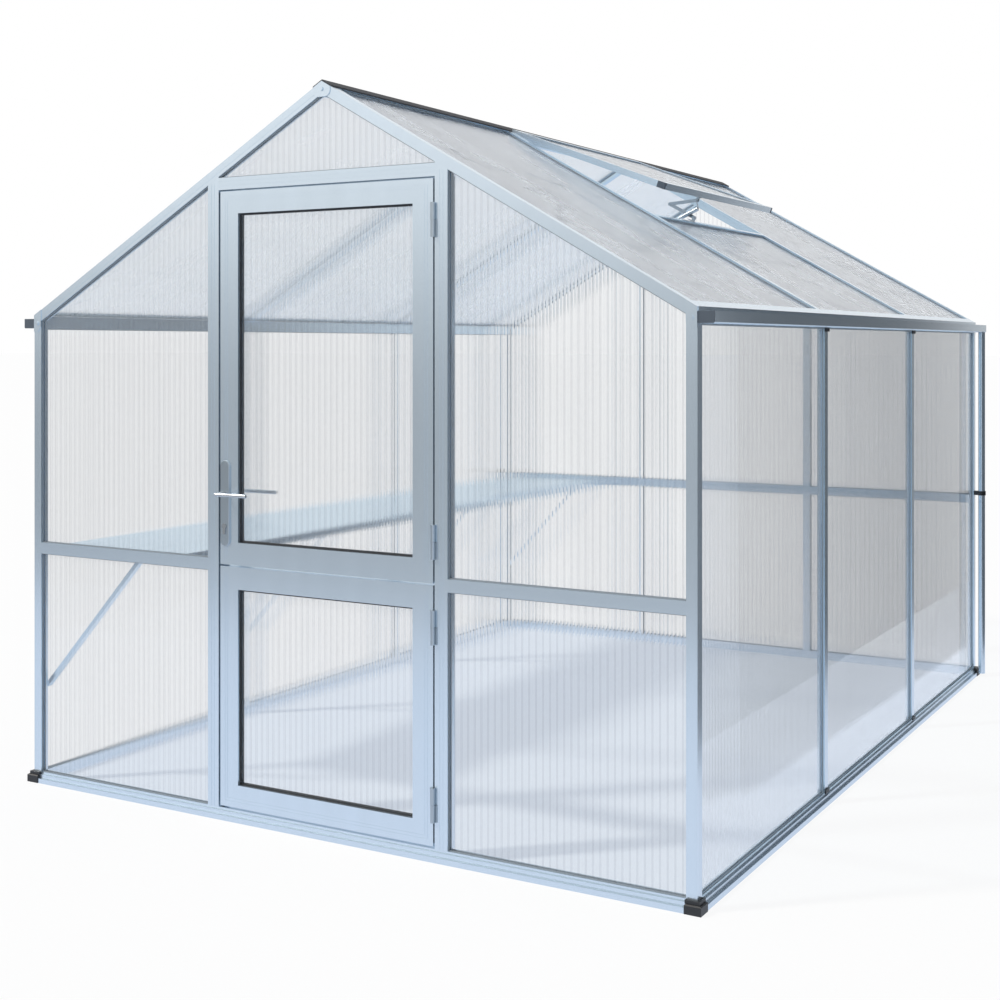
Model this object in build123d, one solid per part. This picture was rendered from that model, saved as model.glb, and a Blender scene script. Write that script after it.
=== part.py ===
from build123d import *
import os
from math import cos, radians, sin, tan

# Overall size of the house, from outer face to outer face of its bars
frame_width = 2335.0
frame_length = 3165.0
eave_height = 1530.0
roof_pitch = 29.8
bay_count = 3

# Extruded bars of the frame
bar_face = 31.0
bar_depth = 31.0
rail_height = 36.0
rail_centre_height = 767.0
eave_beam_height = 45.0
transom_width = 24.0
transom_from_ridge = 666.0

# Fine lines drawn along the outer faces of the bars
groove_width = 1.2
groove_depth = 0.6
post_groove_insets = (16.0, 27.0)
rail_groove_count = 2

# Base sill with its two outer ridges, and the moulded corner blocks that join its lengths
sill_height = 34.0
sill_foot_height = 15.0
sill_foot_reach = 14.0
sill_step_height = 27.0
sill_step_reach = 6.0
corner_block_reach = 16.0
corner_block_lip = 9.0
corner_block_chamfer = 3.0

# Twin-wall panes and the way they sit in the bars
pane_thickness = 10.0
pane_recess = 8.5
pane_seat = 8.0
pane_play = 0.3

# Entrance with its two leaves, one above the other
door_post_face = 42.0
door_opening_width = 773.0
header_height = 37.0
header_below_verge = 3.6
leaf_bar_width = 68.0
leaf_depth = 31.0
leaf_pane_recess = 13.0
hinge_side_gap = 5.0
latch_side_gap = 7.0
leaf_end_gap = 5.0
sill_gap = 6.0
stop_gap = 5.0
stop_thickness = 3.0
stop_reach = 10.0
leaf_groove_insets = (18.0, 27.0)

# Door hinges
hinge_length = 96.0
knuckle_radius = 6.5
pin_radius = 3.0
pin_play = 0.05
hinge_plate_width = 11.0
hinge_plate_thickness = 2.5
hinge_joint_gap = 0.4

# Lever handle, its two plates and the lock cylinder
plate_length = 258.0
plate_width = 34.0
plate_thickness = 6.0
plate_chamfer = 1.5
plate_bottom_above_leaf = 56.0
plate_edge_inset = 4.0
lever_below_plate_top = 98.0
cylinder_above_plate_bottom = 60.0
lever_length = 125.0
lever_reach = 52.0
lever_radius = 6.0
lever_corner_cut = 10.0
lever_end_chamfer = 2.5
spindle_radius = 4.0
spindle_play = 0.4
cylinder_radius = 8.5
cylinder_tail_width = 10.0
cylinder_tail_length = 33.0
cylinder_reach = 3.0

# Gutters and downpipes
gutter_reach = 46.0
gutter_below_eave = 12.0
gutter_depth = 31.0
gutter_wall = 2.0
gutter_lip = 6.0
gutter_outer_slope = 3.0
end_cap_thickness = 3.0
pipe_radius = 14.0
pipe_wall = 1.5
pipe_from_back = 24.0
pipe_bottom_height = 14.0
pipe_clip_height = 18.0
pipe_clip_thickness = 3.0
pipe_clip_centre_height = 792.0

# Plates, caps and the ridge
ridge_face = 31.0
ridge_cap_face = 38.0
ridge_cap_thickness = 4.0
joint_plate_thickness = 2.5
eave_plate_height = 54.0
apex_plate_half_width = 30.0
apex_plate_height = 46.0
apex_plate_corner = 18.0
bolt_head_radius = 6.0
bolt_head_height = 3.5
mullion_cap_height = 11.0
mullion_cap_proud = 5.0
mullion_cap_side = 3.0

# Roof vent, which stands open, and its self-acting opener
vent_open_angle = 9.1
vent_bar_width = 28.0
vent_bar_depth = 22.0
vent_length = 620.0
vent_side_play = 4.0
vent_ridge_gap = 5.0
vent_sink = 11.0
vent_rebate_play = 1.0
vent_cap_length = 14.0
opener_from_bar = 335.0
opener_arm_width = 12.0
opener_arm_thickness = 3.0
opener_knee_rise = 52.0
opener_knee_back = 92.0
opener_bracket_length = 22.0
opener_base_width = 18.0
opener_base_thickness = 2.5
opener_ear_height = 14.0
opener_pin_radius = 2.5
opener_cylinder_radius = 7.5
opener_cylinder_length = 76.0
opener_cylinder_share = 0.22
opener_rod_radius = 3.5
opener_rod_length = 26.0
opener_link_radius = 2.0
opener_link_reach = 9.6
opener_link_drop = 30.5

# Shelf along the left wall
shelf_height = 770.0
shelf_reach = 530.0
shelf_rail_height = 14.0
shelf_rail_width = 22.0
shelf_slat_width = 85.0
shelf_slat_gap = 1.5
shelf_slat_thickness = 10.0
strut_foot_height = 308.0
strut_head_reach = 405.0
strut_width = 19.0
strut_thickness = 18.0

# Seats and running clearances
seat_gap = 0.3
cut_margin = 5.0

# Derived places
half_width = frame_width / 2
pitch = radians(roof_pitch)
slope_length = half_width / cos(pitch)
ridge_height = eave_height + half_width * tan(pitch)
verge_drop = bar_face / cos(pitch)
bay_length = frame_length / bay_count
door_half = door_opening_width / 2
post_outer = door_half + door_post_face
header_top_height = ridge_height - verge_drop - door_half * tan(pitch) - header_below_verge
header_bottom = header_top_height - header_height
rail_bottom = rail_centre_height - rail_height / 2
rail_top = rail_centre_height + rail_height / 2
front_reach = lever_reach + plate_thickness + lever_radius
back_reach = corner_block_reach
front_y = (front_reach - back_reach - frame_length) / 2
leaf_left = -door_half + latch_side_gap
leaf_right = door_half - hinge_side_gap
leaf_bottom = sill_height + sill_gap
leaf_top = header_bottom - leaf_end_gap
split_low = rail_centre_height - leaf_end_gap / 2
split_high = rail_centre_height + leaf_end_gap / 2
hinge_x = door_half - hinge_side_gap / 2
hinge_y = -knuckle_radius - seat_gap

# Wall planes, drawn from outside: first axis along the wall, second up, third outward
front_wall = Plane(origin=(0, 0, 0), x_dir=(1, 0, 0), z_dir=(0, -1, 0))
back_wall = Plane(origin=(0, frame_length, 0), x_dir=(-1, 0, 0), z_dir=(0, 1, 0))
right_wall = Plane(origin=(half_width, 0, 0), x_dir=(0, 1, 0), z_dir=(1, 0, 0))
right_roof = Plane(origin=(half_width, 0, eave_height), x_dir=(0, 1, 0), z_dir=(sin(pitch), 0, cos(pitch)))
side_section = Plane(origin=(0, 0, 0), x_dir=(1, 0, 0), z_dir=(0, -1, 0))


def slab(wall, corners, inner, outer):
    """Prism over a polygon drawn on a wall plane, between two depths along the wall's normal."""
    return extrude(wall.offset(inner) * Polygon(*corners, align=None), amount=outer - inner, dir=wall.z_dir)


def rectangle(left, right, low, high):
    """Corners of an upright rectangle on a wall plane."""
    return [(left, low), (right, low), (right, high), (left, high)]


def glaze(wall, corners, recess):
    """Pane that reaches into the bars round an opening, with the pocket that it needs in them."""
    opening = Polygon(*corners, align=None)
    pane = offset(opening, pane_seat, kind=Kind.INTERSECTION)
    pocket = offset(opening, pane_seat + pane_play, kind=Kind.INTERSECTION)
    outer = -recess
    inner = outer - pane_thickness
    return (
        extrude(wall.offset(inner) * pane, amount=pane_thickness, dir=wall.z_dir),
        extrude(wall.offset(inner - pane_play) * pocket, amount=pane_thickness + 2 * pane_play, dir=wall.z_dir),
    )


def left_copy(shape):
    """The same piece on the other side of the ridge."""
    return mirror(shape, about=Plane.YZ)


def both_sides(shape):
    """A piece and its mirror image."""
    return [shape, left_copy(shape)]


def cylinder_between(start, end, radius):
    """Round bar between two points."""
    axis = Vector(*end) - Vector(*start)
    return Solid.make_cylinder(radius, axis.length, Plane(origin=start, z_dir=axis))


def verge_underside(x):
    """Height of the verge bars' lower edge at a distance from the middle."""
    return ridge_height - verge_drop - abs(x) * tan(pitch)


def gable_openings():
    """Daylight openings that both gables share, as corners on the wall plane."""
    inner = half_width - bar_face
    lower = rectangle(post_outer, inner, sill_height, rail_bottom)
    upper = [
        (post_outer, rail_top),
        (inner, rail_top),
        (inner, verge_underside(inner)),
        (post_outer, verge_underside(post_outer)),
    ]
    right = [lower, upper]
    left = [[(-x, z) for x, z in corners] for corners in right]
    return right + left


def bay_edges(index):
    """Start and end of a bay's daylight along the house."""
    start = bar_face if index == 0 else index * bay_length + bar_face / 2
    end = frame_length - bar_face if index == bay_count - 1 else (index + 1) * bay_length - bar_face / 2
    return start, end


def front_glazing():
    """Panes of the front gable, beside and above the entrance."""
    above = [
        (-door_half, header_top_height),
        (door_half, header_top_height),
        (door_half, verge_underside(door_half)),
        (0, verge_underside(0)),
        (-door_half, verge_underside(door_half)),
    ]
    return [glaze(front_wall, corners, pane_recess) for corners in gable_openings() + [above]]


def back_glazing():
    """Panes of the back gable, which has a whole middle bay."""
    edge = post_outer - bar_face
    lower = rectangle(-edge, edge, sill_height, rail_bottom)
    upper = [
        (-edge, rail_top),
        (edge, rail_top),
        (edge, verge_underside(edge)),
        (0, verge_underside(0)),
        (-edge, verge_underside(edge)),
    ]
    return [glaze(back_wall, corners, pane_recess) for corners in gable_openings() + [lower, upper]]


def side_glazing():
    """Panes of the right wall, one to a bay."""
    top = eave_height - eave_beam_height
    panes = []
    for index in range(bay_count):
        start, end = bay_edges(index)
        panes.append(glaze(right_wall, rectangle(start, end, sill_height, top), pane_recess))
    return panes


def roof_glazing(with_vent):
    """Panes of the right slope; the middle one stops at the transom where the vent is."""
    panes = []
    for index in range(bay_count):
        start, end = bay_edges(index)
        top = slope_length - ridge_face
        if with_vent and index == bay_count // 2:
            top = slope_length - transom_from_ridge - transom_width / 2
        panes.append(glaze(right_roof, rectangle(start, end, bar_face, top), pane_recess))
    return panes


def panes_of(glazing):
    return [pane for pane, _ in glazing]


def pockets_of(glazing):
    return [pocket for _, pocket in glazing]


def cut(shape, tools):
    """Take the pockets out of a bar, one after the other."""
    for tool in tools:
        shape = shape - tool
    return shape


def score(shape, wall, corners):
    """Draw a fine groove over a polygon on the outer face of a bar."""
    return shape - slab(wall, corners, -groove_depth, cut_margin)


def score_rail(rail, wall, left, right, low, high):
    """Draw even grooves along a horizontal bar between two heights."""
    step = (high - low) / (rail_groove_count + 1)
    for index in range(rail_groove_count):
        base = low + (index + 1) * step - groove_width / 2
        rail = score(rail, wall, rectangle(left, right, base, base + groove_width))
    return rail


def sill_section():
    """Outline of the sill across its length: outward, then up."""
    return [
        (-bar_depth, 0),
        (sill_foot_reach, 0),
        (sill_foot_reach, sill_foot_height),
        (sill_step_reach, sill_foot_height),
        (sill_step_reach, sill_step_height),
        (0, sill_step_height),
        (0, sill_height),
        (-bar_depth, sill_height),
    ]


def sill_length(plane, length):
    """A straight length of sill whose section is drawn on the given plane."""
    return extrude(plane * Polygon(*sill_section(), align=None), amount=length, dir=plane.z_dir)


def gable_sills(pockets):
    """Front and back lengths, between the corner blocks; the front one is also the threshold."""
    length = frame_width - 2 * bar_face
    front = sill_length(Plane(origin=(half_width - bar_face, 0, 0), x_dir=(0, -1, 0), z_dir=(-1, 0, 0)), length)
    back = sill_length(Plane(origin=(bar_face - half_width, frame_length, 0), x_dir=(0, 1, 0), z_dir=(1, 0, 0)), length)
    return [cut(front, pockets), cut(back, pockets)]


def side_sills(pockets):
    """Lengths under the side walls, between the corner blocks."""
    plane = Plane(origin=(half_width, bar_face, 0), x_dir=(1, 0, 0), z_dir=(0, -1, 0))
    length = frame_length - 2 * bar_face
    sill = extrude(plane * Polygon(*sill_section(), align=None), amount=length, dir=(0, 1, 0))
    return both_sides(cut(sill, pockets))


def corner_block(pockets):
    """Front right corner block: a moulded foot with a narrower top step round the post."""
    side = bar_face + corner_block_reach
    foot_height = sill_height - corner_block_lip
    foot = Pos(half_width - bar_face, bar_face, 0) * Box(
        side, side, foot_height, align=(Align.MIN, Align.MAX, Align.MIN)
    )
    foot = chamfer(foot.faces().sort_by(Axis.Z)[-1].edges(), corner_block_chamfer)
    step_side = bar_face + corner_block_reach - 2 * corner_block_chamfer
    step = Pos(half_width - bar_face, bar_face, foot_height) * Box(
        step_side, step_side, corner_block_lip, align=(Align.MIN, Align.MAX, Align.MIN)
    )
    return cut(foot + step, pockets)


def four_corners(shape):
    """A front right piece and its images at the other three corners."""
    back = mirror(shape, about=Plane.XZ.offset(-frame_length / 2))
    return both_sides(shape) + both_sides(back)


def corner_post(pockets):
    """Front right post, square in plan, with its top cut to the roof slope."""
    profile = rectangle(half_width - bar_face, half_width, sill_height, verge_underside(half_width - bar_face))
    return cut(slab(front_wall, profile, -bar_depth, 0), pockets)


def door_posts(pockets):
    """Two posts beside the entrance, each with a stop lip behind the leaves."""
    depth = leaf_depth + stop_gap
    outline = [
        (door_half, sill_height),
        (post_outer, sill_height),
        (post_outer, verge_underside(post_outer)),
        (door_half, verge_underside(door_half)),
    ]
    post = cut(slab(front_wall, outline, -depth, 0), pockets)
    lip = slab(
        front_wall,
        rectangle(door_half - stop_reach, post_outer, sill_height, header_bottom),
        -depth - stop_thickness,
        -depth,
    )
    for inset in post_groove_insets:
        left = door_half + inset
        post = score(post, front_wall, rectangle(left, left + groove_width, sill_height, verge_underside(post_outer)))
    return both_sides(post + lip)


def door_header(pockets):
    """Bar over the entrance, between the posts, with the same stop lip."""
    depth = leaf_depth + stop_gap
    bar = slab(front_wall, rectangle(-door_half, door_half, header_bottom, header_top_height), -depth, 0)
    lip_low = header_bottom - stop_reach
    lip_half = door_half - stop_reach - seat_gap
    lip = slab(
        front_wall,
        rectangle(-lip_half, lip_half, lip_low, header_top_height),
        -depth - stop_thickness,
        -depth,
    )
    bar = score_rail(cut(bar, pockets), front_wall, -door_half, door_half, header_bottom, header_top_height)
    return bar + lip


def gable_rails(wall, pockets, spans):
    """Horizontal bars half way up a gable."""
    rails = []
    for left, right in spans:
        bar = cut(slab(wall, rectangle(left, right, rail_bottom, rail_top), -bar_depth, 0), pockets)
        rails.append(score_rail(bar, wall, left, right, rail_bottom, rail_top))
    return rails


def back_mullions(pockets):
    """Two uprights of the back gable, at the same distance apart as the door posts."""
    inner = post_outer - bar_face
    outline = [
        (inner, sill_height),
        (post_outer, sill_height),
        (post_outer, verge_underside(post_outer)),
        (inner, verge_underside(inner)),
    ]
    return both_sides(cut(slab(back_wall, outline, -bar_depth, 0), pockets))


def side_mullions(pockets):
    """Uprights of both side walls, between the bays."""
    top = eave_height - eave_beam_height
    bars = []
    for index in range(1, bay_count):
        middle = index * bay_length
        outline = rectangle(middle - bar_face / 2, middle + bar_face / 2, sill_height, top)
        bars += both_sides(cut(slab(right_wall, outline, -bar_depth, 0), pockets))
    return bars


def mullion_caps():
    """Dark moulded caps over the foot and the head of each side mullion."""
    caps = []
    for index in range(1, bay_count):
        middle = index * bay_length
        for low in (sill_height, eave_height - eave_beam_height - mullion_cap_height):
            half = bar_face / 2 + mullion_cap_side
            outline = rectangle(middle - half, middle + half, low, low + mullion_cap_height)
            caps += both_sides(slab(right_wall, outline, 0, mullion_cap_proud))
    return caps


def eave_beams(pockets):
    """Bars along the heads of the side walls, with a top that follows the slope."""
    section = [
        (half_width, eave_height - eave_beam_height),
        (half_width, eave_height),
        (half_width - bar_face * cos(pitch), eave_height + bar_face * sin(pitch)),
        (half_width - bar_depth, eave_height - eave_beam_height + bar_face / 2),
        (half_width - bar_depth, eave_height - eave_beam_height),
    ]
    plane = side_section.offset(-bar_depth)
    beam = extrude(plane * Polygon(*section, align=None), amount=frame_length - 2 * bar_depth, dir=(0, 1, 0))
    return both_sides(cut(beam, pockets))


def verge_bar():
    """Front right sloping bar, from the corner post to the apex, with plumb cuts."""
    outline = [
        (half_width, verge_underside(half_width - bar_face)),
        (half_width, eave_height),
        (0, ridge_height),
        (0, verge_underside(0)),
        (half_width - bar_face, verge_underside(half_width - bar_face)),
    ]
    bar = slab(front_wall, outline, -bar_depth, 0)
    line = verge_drop / (rail_groove_count + 1)
    end = half_width - bar_face
    high = verge_underside(0) + line
    low = verge_underside(end) + line
    return score(bar, front_wall, [(0, high), (end, low), (end, low + groove_width), (0, high + groove_width)])


def roof_bars(pockets):
    """Bars down both slopes, between the bays."""
    bars = []
    for index in range(1, bay_count):
        middle = index * bay_length
        outline = rectangle(middle - bar_face / 2, middle + bar_face / 2, bar_face, slope_length - ridge_face)
        bars.append(slab(right_roof, outline, -bar_depth, 0))
    right = [cut(bar, pockets) for bar in bars]
    return right


def ridge_beam(pockets):
    """Bar under the ridge, with a shoulder on each slope for the roof panes."""
    shoulder = (ridge_face * cos(pitch), ridge_height - ridge_face * sin(pitch))
    foot = (shoulder[0] - bar_depth * sin(pitch), shoulder[1] - bar_depth * cos(pitch))
    section = [(0, ridge_height), shoulder, foot, (-foot[0], foot[1]), (-shoulder[0], shoulder[1])]
    plane = side_section.offset(-bar_depth)
    beam = extrude(plane * Polygon(*section, align=None), amount=frame_length - 2 * bar_depth, dir=(0, 1, 0))
    return cut(beam, pockets)


def ridge_cap():
    """Dark folded strip over the ridge."""
    lift = ridge_cap_thickness / cos(pitch)
    reach = ridge_cap_face * cos(pitch)
    fall = ridge_cap_face * sin(pitch)
    section = [
        (0, ridge_height),
        (reach, ridge_height - fall),
        (reach, ridge_height - fall + lift),
        (0, ridge_height + lift),
        (-reach, ridge_height - fall + lift),
        (-reach, ridge_height - fall),
    ]
    return extrude(side_section * Polygon(*section, align=None), amount=frame_length, dir=(0, 1, 0))


def gutter():
    """Right gutter: an open channel with a sloping outer wall and a rolled-in lip."""
    top = eave_height - gutter_below_eave
    low = top - gutter_depth
    outer = half_width + gutter_reach
    foot = outer - gutter_outer_slope
    section = [
        (half_width, low),
        (foot, low),
        (outer, low + gutter_outer_slope),
        (outer, top),
        (outer - gutter_lip, top),
        (outer - gutter_lip, top - gutter_wall),
        (outer - gutter_wall, top - gutter_wall),
        (outer - gutter_wall, low + gutter_outer_slope + gutter_wall / 2),
        (foot - gutter_wall / 2, low + gutter_wall),
        (half_width + gutter_wall, low + gutter_wall),
        (half_width + gutter_wall, eave_height),
        (half_width, eave_height),
    ]
    plane = side_section.offset(-end_cap_thickness)
    length = frame_length - 2 * end_cap_thickness
    return extrude(plane * Polygon(*section, align=None), amount=length, dir=(0, 1, 0))


def gutter_end_caps():
    """Moulded plates that close the gutters' ends."""
    top = eave_height - gutter_below_eave
    low = top - gutter_depth
    outer = half_width + gutter_reach
    outline = [
        (half_width, low),
        (outer - gutter_outer_slope, low),
        (outer, low + gutter_outer_slope),
        (outer, top),
        (half_width, top),
    ]
    return four_corners(slab(front_wall, outline, -end_cap_thickness, 0))


def pipe_centre():
    """Place of the right downpipe in plan."""
    return half_width + gutter_reach - pipe_radius, frame_length - pipe_from_back


def downpipe():
    """Right downpipe: a tube from the gutter's floor to just above the ground."""
    x, y = pipe_centre()
    top = eave_height - gutter_below_eave - gutter_depth
    ring = Circle(pipe_radius) - Circle(pipe_radius - pipe_wall)
    return extrude(Pos(x, y, pipe_bottom_height) * ring, amount=top - pipe_bottom_height)


def pipe_clip():
    """Right pipe clip: a ring round the pipe on a block against the wall."""
    x, y = pipe_centre()
    ring_radius = pipe_radius + pipe_clip_thickness
    low = pipe_clip_centre_height - pipe_clip_height / 2
    post_edge = frame_length - bar_face
    block = Pos(half_width, post_edge, 0) * Rectangle(
        x - half_width, bar_face / 2, align=(Align.MIN, Align.MIN)
    )
    outline = Pos(x, y) * Circle(ring_radius) + block
    outline = outline - Pos(x, y) * Circle(pipe_radius + seat_gap)
    room = Pos(half_width) * Rectangle(frame_width, 2 * frame_length, align=(Align.MIN, Align.CENTER))
    return extrude(Pos(0, 0, low) * (outline & room), amount=pipe_clip_height)


def bolt_head(across, up):
    """Low round head on the outside of a front joint plate."""
    seat = front_wall.offset(joint_plate_thickness)
    return extrude(seat * Pos(across, up) * Circle(bolt_head_radius), amount=bolt_head_height, dir=front_wall.z_dir)


def eave_plate():
    """Front right joint plate at the eave: a chamfered plate with one bolt."""
    low = eave_height - eave_plate_height
    inner = half_width - bar_face
    outline = [
        (half_width, low),
        (half_width, eave_height),
        (inner, eave_height + bar_face * tan(pitch)),
        (inner, low + bar_face / 2),
        (inner + bar_face / 2, low),
    ]
    plate = slab(front_wall, outline, 0, joint_plate_thickness)
    middle = half_width - bar_face / 2
    return plate + bolt_head(middle, eave_height - eave_plate_height / 2)


def apex_plate():
    """Front joint plate at the ridge: rounded below, cut to the slopes above, with one bolt."""
    low = ridge_height - apex_plate_height
    edge = ridge_height - apex_plate_half_width * tan(pitch)
    outline = Polygon(
        (-apex_plate_half_width, low),
        (apex_plate_half_width, low),
        (apex_plate_half_width, edge),
        (0, ridge_height),
        (-apex_plate_half_width, edge),
        align=None,
    )
    outline = fillet(outline.vertices().group_by(Axis.Y)[0], apex_plate_corner)
    plate = extrude(front_wall * outline, amount=joint_plate_thickness, dir=front_wall.z_dir)
    return plate + bolt_head(0, ridge_height - apex_plate_height / 2)


def front_and_back(shape):
    """A piece of the front gable and its image on the back gable."""
    return [shape, mirror(shape, about=Plane.XZ.offset(-frame_length / 2))]


def vent_span():
    """Start and end of the middle bay between its roof bars, along the house."""
    middle = bay_count // 2
    return bay_edges(middle)


def vent_transom(pockets):
    """Cross bar that the closed vent would rest on."""
    start, end = vent_span()
    up = slope_length - transom_from_ridge
    outline = rectangle(start, end, up - transom_width / 2, up + transom_width / 2)
    return cut(slab(right_roof, outline, -bar_depth, 0), pockets)


def vent_plane():
    """Plane of the open vent: hinged in its rebate beside the ridge cap and raised by its opening angle."""
    lean = radians(roof_pitch - vent_open_angle)
    up = ridge_cap_face + vent_ridge_gap
    lift = vent_bar_depth / 2 + seat_gap - vent_sink
    x = up * cos(pitch) + lift * sin(pitch)
    z = ridge_height - up * sin(pitch) + lift * cos(pitch)
    return Plane(origin=(x, 0, z), x_dir=(0, 1, 0), z_dir=(sin(lean), 0, cos(lean)))


def vent_edges():
    """Outer edges of the vent frame along the house."""
    start, end = vent_span()
    return start - bar_face / 2 + vent_side_play, end + bar_face / 2 - vent_side_play


def vent_rebate():
    """Room that the closed vent needs in the roof bars and the transom."""
    start, end = vent_edges()
    hinge_line = slope_length - ridge_cap_face - vent_ridge_gap
    low = hinge_line - vent_length - vent_rebate_play
    high = hinge_line + 2 * vent_rebate_play
    outline = rectangle(start - vent_rebate_play, end + vent_rebate_play, low, high)
    return slab(right_roof, outline, -vent_sink, cut_margin)


def vent_glazing():
    start, end = vent_edges()
    opening = rectangle(
        start + vent_bar_width, end - vent_bar_width, vent_bar_width - vent_length, -vent_bar_width
    )
    return glaze(vent_plane(), opening, (vent_bar_depth - pane_thickness) / 2 - vent_bar_depth / 2)


def vent_end_caps():
    """Dark moulded ends of the vent's bottom bar."""
    start, end = vent_edges()
    half_depth = vent_bar_depth / 2
    low = -vent_length
    high = vent_bar_width - vent_length
    spans = [(start, start + vent_cap_length), (end - vent_cap_length, end)]
    return [slab(vent_plane(), rectangle(left, right, low, high), -half_depth, half_depth) for left, right in spans]


def vent_frame(pocket):
    """Four bars round the vent pane, joined at their corners, with room for the end caps."""
    start, end = vent_edges()
    plane = vent_plane()
    half_depth = vent_bar_depth / 2
    ring = slab(plane, rectangle(start, end, -vent_length, 0), -half_depth, half_depth)
    inner = rectangle(start + vent_bar_width, end - vent_bar_width, vent_bar_width - vent_length, -vent_bar_width)
    ring = ring - slab(plane, inner, -half_depth - cut_margin, half_depth + cut_margin)
    return cut(ring, [pocket] + vent_end_caps())


def opener_points():
    """Pivots of the opener in the vertical plane across the house, as X and Z."""
    lean = radians(roof_pitch - vent_open_angle)
    hinge_line = vent_plane().origin
    along = vent_length - vent_bar_width / 2
    drop = vent_bar_depth / 2 + opener_ear_height
    top = Vector(
        hinge_line.X + along * cos(lean) - drop * sin(lean), 0, hinge_line.Z - along * sin(lean) - drop * cos(lean)
    )
    foot = Vector(
        transom_from_ridge * cos(pitch) + opener_ear_height * sin(pitch),
        0,
        ridge_height - transom_from_ridge * sin(pitch) + opener_ear_height * cos(pitch),
    )
    knee = Vector(foot.X - opener_knee_back, 0, foot.Z + opener_knee_rise)
    return top, foot, knee


def opener_line():
    """Middle of the opener along the house."""
    return bay_length * (bay_count // 2) + opener_from_bar


def opener_arm(start, end, y):
    """Flat arm with rounded ends and pivot holes between two pivots, at a place along the house."""
    reach = end - start
    middle = (start + end) * 0.5
    hole = Circle(opener_pin_radius + pin_play)
    outline = SlotCenterToCenter(reach.length, opener_arm_width)
    outline = outline - Pos(-reach.length / 2) * hole - Pos(reach.length / 2) * hole
    plane = Plane(origin=(middle.X, y, middle.Z), x_dir=reach.normalized(), z_dir=(0, -1, 0))
    return extrude(plane * outline, amount=opener_arm_thickness, dir=(0, 1, 0))


def opener_pin(pivot, y):
    """Pin along the house through one pivot."""
    return Solid.make_cylinder(
        opener_pin_radius,
        4 * opener_arm_thickness,
        Plane(origin=(pivot.X, y - opener_arm_thickness, pivot.Z), z_dir=(0, 1, 0)),
    )


def opener_bracket(pivot, seat, y):
    """Base plate on a rail, with an ear that holds a pivot pin."""
    ear_y = y + 2 * opener_arm_thickness + seat_gap
    normal = (seat - pivot).normalized()
    along = Vector(normal.Z, 0, -normal.X)
    plane = Plane(origin=(pivot.X, ear_y, pivot.Z), x_dir=along, z_dir=(0, -1, 0))
    reach = (seat - pivot).length - seat_gap
    ear = Circle(opener_arm_width / 2) + Pos(0, reach / 2) * Rectangle(opener_arm_width, reach)
    base = Pos(0, reach - opener_base_thickness / 2) * Rectangle(
        opener_bracket_length, opener_base_thickness
    )
    bracket = extrude(plane * ear, amount=opener_arm_thickness, dir=(0, 1, 0))
    bracket = bracket + extrude(plane * base, amount=opener_base_width, dir=(0, -1, 0))
    return bracket + opener_pin(pivot, y)


def vent_opener():
    """Arms, brackets and knee pin of the opener, each at its pivot."""
    top, foot, knee = opener_points()
    lean = radians(roof_pitch - vent_open_angle)
    y = opener_line()
    vent_seat = top + Vector(sin(lean), 0, cos(lean)) * opener_ear_height
    rail_seat = foot - Vector(sin(pitch), 0, cos(pitch)) * opener_ear_height
    upper = opener_arm(top, knee, y)
    lower = opener_arm(knee, foot, y + opener_arm_thickness + seat_gap)
    brackets = [opener_bracket(top, vent_seat, y), opener_bracket(foot, rail_seat, y)]
    return [upper, lower], brackets, opener_pin(knee, y)


def opener_cylinder():
    """Cylinder of the opener with its rod, its pivot stud and the wire link that hangs its head from the vent."""
    top, foot, knee = opener_points()
    line = opener_line()
    y = line - opener_arm_thickness - 2 * seat_gap - opener_cylinder_radius
    pivot = foot + (knee - foot) * opener_cylinder_share
    head = Vector(top.X + opener_link_reach, 0, top.Z - opener_link_drop)
    axis = (pivot - head).normalized()
    neck = axis * opener_cylinder_length
    tail = axis * (opener_cylinder_length + opener_rod_length)

    def at(point, place):
        return point.X, place, point.Z

    tube = cylinder_between(at(head, y), at(head + neck, y), opener_cylinder_radius)
    rod = cylinder_between(at(head + neck, y), at(head + tail, y), opener_rod_radius)
    pivot_stud = cylinder_between(at(pivot, y), at(pivot, line + opener_arm_thickness), opener_pin_radius)
    link_y = line - opener_arm_thickness - seat_gap - opener_link_radius
    link = cylinder_between(at(top, link_y), at(head, link_y), opener_link_radius)
    return tube + rod + pivot_stud + link


def shelf_parts():
    """Rails and slats of the shelf along the left wall."""
    wall_face = -half_width + bar_depth
    top = shelf_height - shelf_slat_thickness
    low = top - shelf_rail_height
    start = bar_depth + seat_gap
    length = frame_length - 2 * start
    corner = (Align.MIN, Align.MIN, Align.MIN)
    inner_x = wall_face + shelf_reach - shelf_rail_width
    rails = [
        Pos(x, start, low) * Box(shelf_rail_width, length, shelf_rail_height, align=corner)
        for x in (wall_face + seat_gap, inner_x)
    ]
    slat_step = shelf_slat_width + shelf_slat_gap
    count = int((shelf_reach + shelf_slat_gap) // slat_step)
    first = wall_face + (shelf_reach - count * slat_step + shelf_slat_gap) / 2
    slats = [
        Pos(first + index * slat_step, start, top)
        * Box(shelf_slat_width, length, shelf_slat_thickness, align=corner)
        for index in range(count)
    ]
    return rails, slats


def frame_lines():
    """Middles of the shelf's bearers and struts along the house, at the posts and the mullions."""
    end = bar_depth + strut_width / 2 + seat_gap
    return [end] + [index * bay_length for index in range(1, bay_count)] + [frame_length - end]


def shelf_bearers():
    """Cross pieces between the two rails, under the slats."""
    wall_face = -half_width + bar_depth
    top = shelf_height - shelf_slat_thickness
    start = wall_face + shelf_rail_width + 2 * seat_gap
    end = wall_face + shelf_reach - shelf_rail_width - seat_gap
    outline = rectangle(start, end, top - shelf_rail_height, top)
    return [
        slab(side_section, outline, -middle - strut_width / 2, strut_width / 2 - middle) for middle in frame_lines()
    ]


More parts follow.
